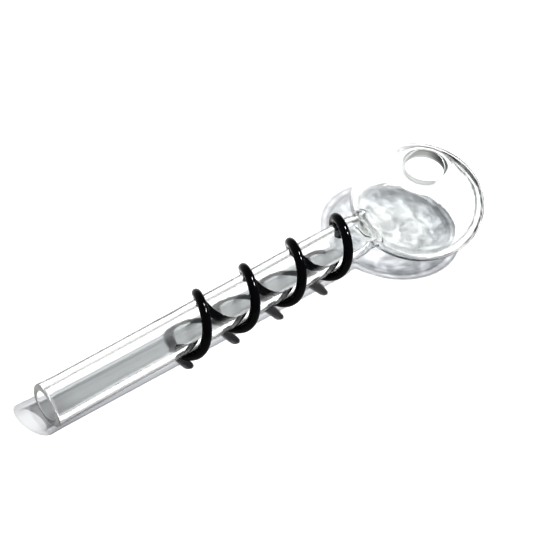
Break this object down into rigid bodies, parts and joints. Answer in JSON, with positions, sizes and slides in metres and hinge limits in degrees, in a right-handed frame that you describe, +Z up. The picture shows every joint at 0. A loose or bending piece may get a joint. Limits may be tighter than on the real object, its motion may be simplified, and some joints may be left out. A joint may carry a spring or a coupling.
{
  "type": "glass bulb pipe",
  "caption": "Clear glass tube with a blown bulb at one end, a lipped vent in the bulb's top and a black glass spiral fused round the stem.",
  "frame": {"origin": "middle of the flat spot under the bulb, on the surface that the pipe lies on", "axes": "+X along the stem from its mouth towards the bulb, +Z up through the vent, +Y to the left when looking along +X"},
  "size_m": [0.1458, 0.0388, 0.0286],
  "materials": {
    "clear_glass": "fire-polished, clear",
    "black_glass": "fire-polished, opaque black"
  },
  "bodies": {
    "root": {"stem_tube": "clear_glass", "bulb": "clear_glass", "vent_lip": "clear_glass", "spiral_wrap": "black_glass"}
  },
  "joints": []
}
